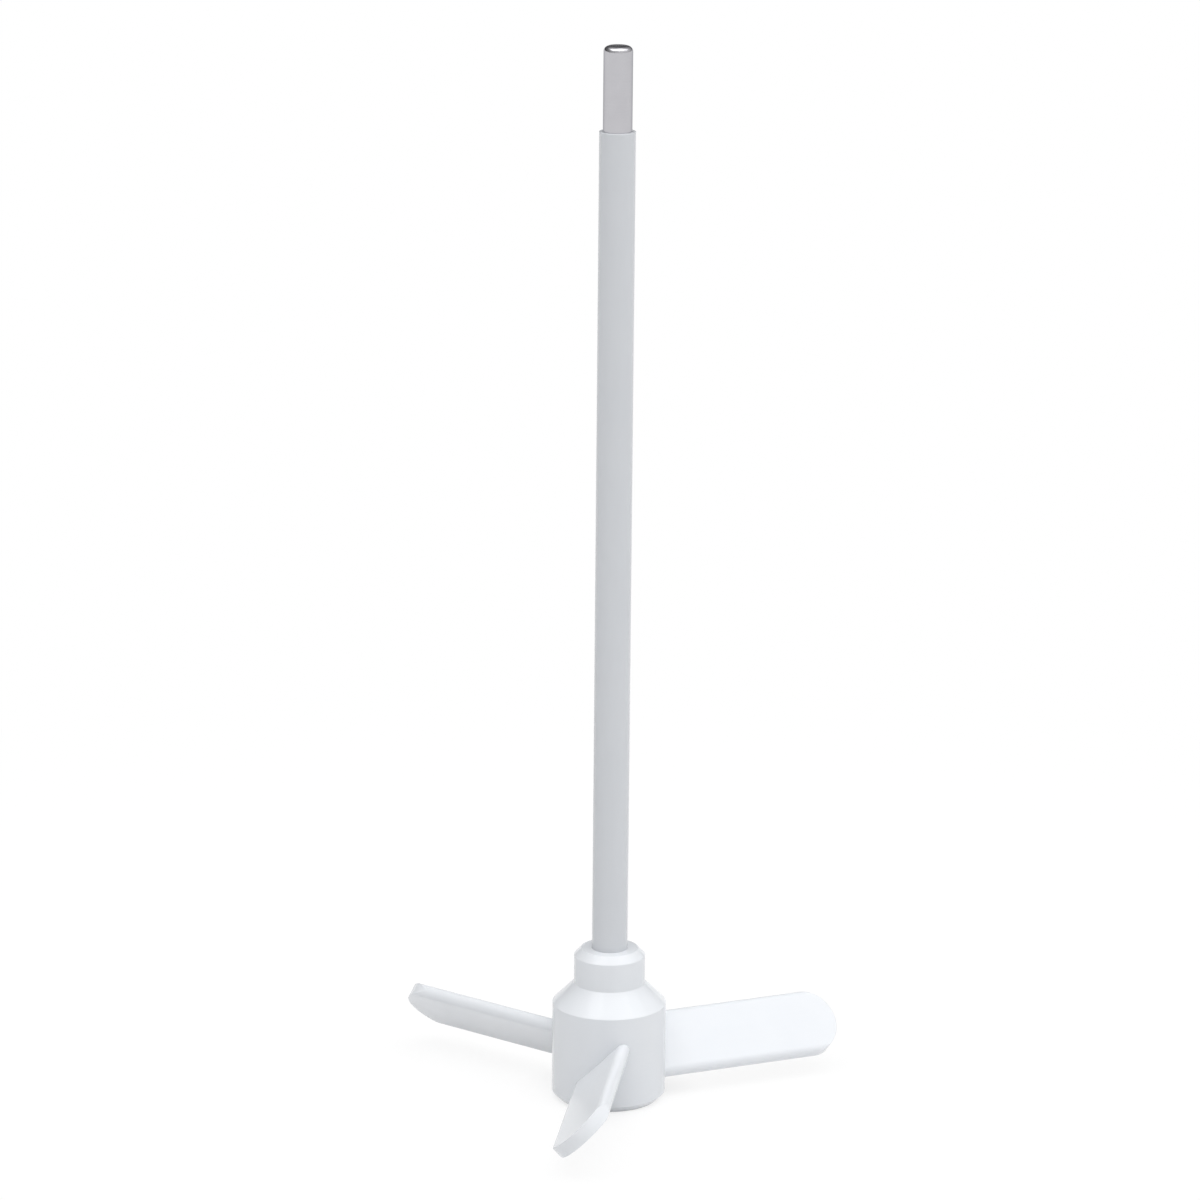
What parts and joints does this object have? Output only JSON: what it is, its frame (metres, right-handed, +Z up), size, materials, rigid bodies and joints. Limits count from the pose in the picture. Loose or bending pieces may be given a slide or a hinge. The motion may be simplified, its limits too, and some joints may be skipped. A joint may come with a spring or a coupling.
{
  "type": "ptfe stirrer shaft",
  "caption": "Overhead stirrer shaft: a steel rod sheathed in a PTFE sleeve and seated in a turned PTFE hub, which carries flat pitched blades with round edges and half-round tips.",
  "frame": {"origin": "middle of the hub's flat foot, on the shaft's axis", "axes": "+Z up along the shaft, from the hub to the drive end; -Y out along blade_3, which points to the front"},
  "size_m": [0.124, 0.1091, 0.3],
  "materials": {
    "bright_steel": "ground and polished stainless bar with fine lines round it",
    "ptfe_sleeve": "smooth drawn white PTFE tube, semi-gloss",
    "ptfe_turned": "white PTFE turned from bar, semi-gloss with very fine turning lines",
    "ptfe_blade": "white PTFE plate with milled round edges, semi-gloss"
  },
  "bodies": {
    "root": {"shaft_core": "bright_steel", "shaft_sleeve": "ptfe_sleeve", "propeller_hub": "ptfe_turned", "blade_1": "ptfe_blade", "blade_2": "ptfe_blade", "blade_3": "ptfe_blade"}
  },
  "joints": []
}
